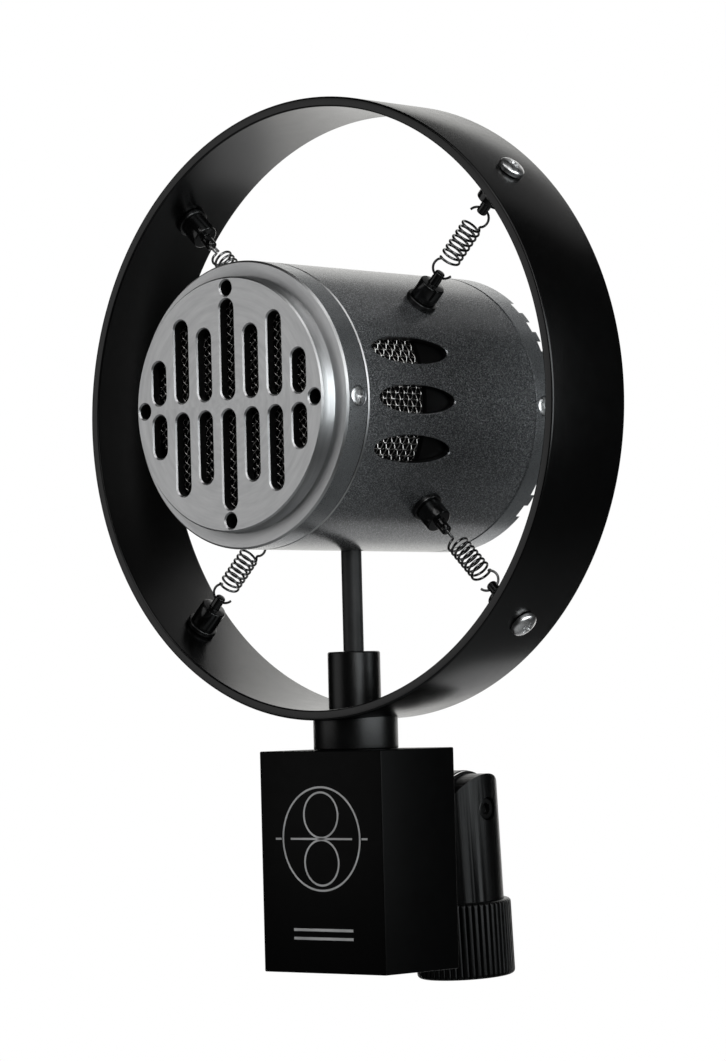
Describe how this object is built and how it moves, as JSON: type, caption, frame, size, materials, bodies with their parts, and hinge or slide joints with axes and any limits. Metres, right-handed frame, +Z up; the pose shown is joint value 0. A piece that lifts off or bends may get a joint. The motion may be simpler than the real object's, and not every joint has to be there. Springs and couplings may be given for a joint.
{
  "type": "ribbon microphone",
  "caption": "Drum-shaped studio microphone capsule hung on springs inside a flat ring, above a block that tilts and turns on a knurled stand adaptor.",
  "frame": {"origin": "middle of the lower end of the knurled stand collar, where the stand's thread enters", "axes": "+Z up, the ring stands in the XZ plane, the capsule's front face looks along -Y, +X is to the right for someone facing the front face from -Y"},
  "size_m": [0.16, 0.0994, 0.2294],
  "materials": {
    "black_paint": "satin black paint with a fine grain, on aluminium",
    "satin_black": "smooth satin black",
    "polished_steel": "bright polished steel",
    "washer_steel": "dull grey steel",
    "spring_steel": "drawn spring wire",
    "socket_body": "matt black moulding",
    "gold_plate": "gold-plated contact",
    "transformer": "laminated steel core with a taped winding",
    "turned_aluminium": "bare aluminium, turned face with a circular grain",
    "grey_paint": "dark grey metallic paint with a fine sparkle",
    "wire_mesh": "woven wire mesh",
    "magnet_steel": "plain magnet and pole steel",
    "ribbon_foil": "thin corrugated foil",
    "lead_sleeve": "matt black cable sleeve"
  },
  "bodies": {
    "stand_fitting": {"stand_collar": "black_paint"},
    "swivel_post": {"swivel_post": "black_paint", "pivot_bolt": "satin_black", "friction_washer_right": "polished_steel", "friction_washer_left": "polished_steel"},
    "mic_frame": {"pivot_bracket": "black_paint", "bracket_screw_right": "satin_black", "bracket_screw_left": "satin_black", "block_housing": "black_paint", "base_plate": "black_paint", "base_screw_right": "satin_black", "base_screw_left": "satin_black", "output_socket": "socket_body", "socket_contact_1": "gold_plate", "socket_contact_2": "gold_plate", "socket_contact_3": "gold_plate", "output_transformer": "transformer", "neck_collar": "black_paint", "ring_boss": "satin_black", "signal_lead": "lead_sleeve", "suspension_ring": "satin_black", "ring_screw_upper_right": "polished_steel", "ring_washer_upper_right": "washer_steel", "ring_stud_upper_right": "satin_black", "suspension_spring_upper_right": "spring_steel", "ring_screw_upper_left": "polished_steel", "ring_washer_upper_left": "washer_steel", "ring_stud_upper_left": "satin_black", "suspension_spring_upper_left": "spring_steel", "ring_screw_lower_left": "polished_steel", "ring_washer_lower_left": "washer_steel", "ring_stud_lower_left": "satin_black", "suspension_spring_lower_left": "spring_steel", "ring_screw_lower_right": "polished_steel", "ring_washer_lower_right": "washer_steel", "ring_stud_lower_right": "satin_black", "suspension_spring_lower_right": "spring_steel"},
    "capsule": {"front_cap": "turned_aluminium", "barrel": "grey_paint", "back_cap": "grey_paint", "front_mesh": "wire_mesh", "back_mesh": "wire_mesh", "side_mesh": "wire_mesh", "inner_sleeve": "satin_black", "front_cap_screw_right": "polished_steel", "front_cap_screw_left": "polished_steel", "back_cap_screw_right": "polished_steel", "back_cap_screw_left": "polished_steel", "motor_frame": "magnet_steel", "magnet_right": "magnet_steel", "magnet_left": "magnet_steel", "ribbon": "ribbon_foil", "drum_washer_upper_right": "washer_steel", "drum_stud_upper_right": "satin_black", "drum_washer_upper_left": "washer_steel", "drum_stud_upper_left": "satin_black", "drum_washer_lower_left": "washer_steel", "drum_stud_lower_left": "satin_black", "drum_washer_lower_right": "washer_steel", "drum_stud_lower_right": "satin_black"}
  },
  "joints": [
    {"name": "post_swivel", "type": "hinge", "parent": "stand_fitting", "child": "swivel_post", "pos_m": [0, 0, 0], "axis": [0, -0.0584, 0.9983], "continuous": true},
    {"name": "frame_tilt", "type": "hinge", "parent": "swivel_post", "child": "mic_frame", "pos_m": [0, -0.00258, 0.04412], "axis": [1, 0, 0], "range_deg": [-155, 18]},
    {"name": "capsule_float", "type": "slide", "parent": "mic_frame", "child": "capsule", "axis": [0, 1, 0], "range_m": [-0.004, 0.004], "stiffness_N_per_m": 900, "deforming": ["suspension_spring_upper_right", "suspension_spring_upper_left", "suspension_spring_lower_left", "suspension_spring_lower_right", "signal_lead"]}
  ]
}
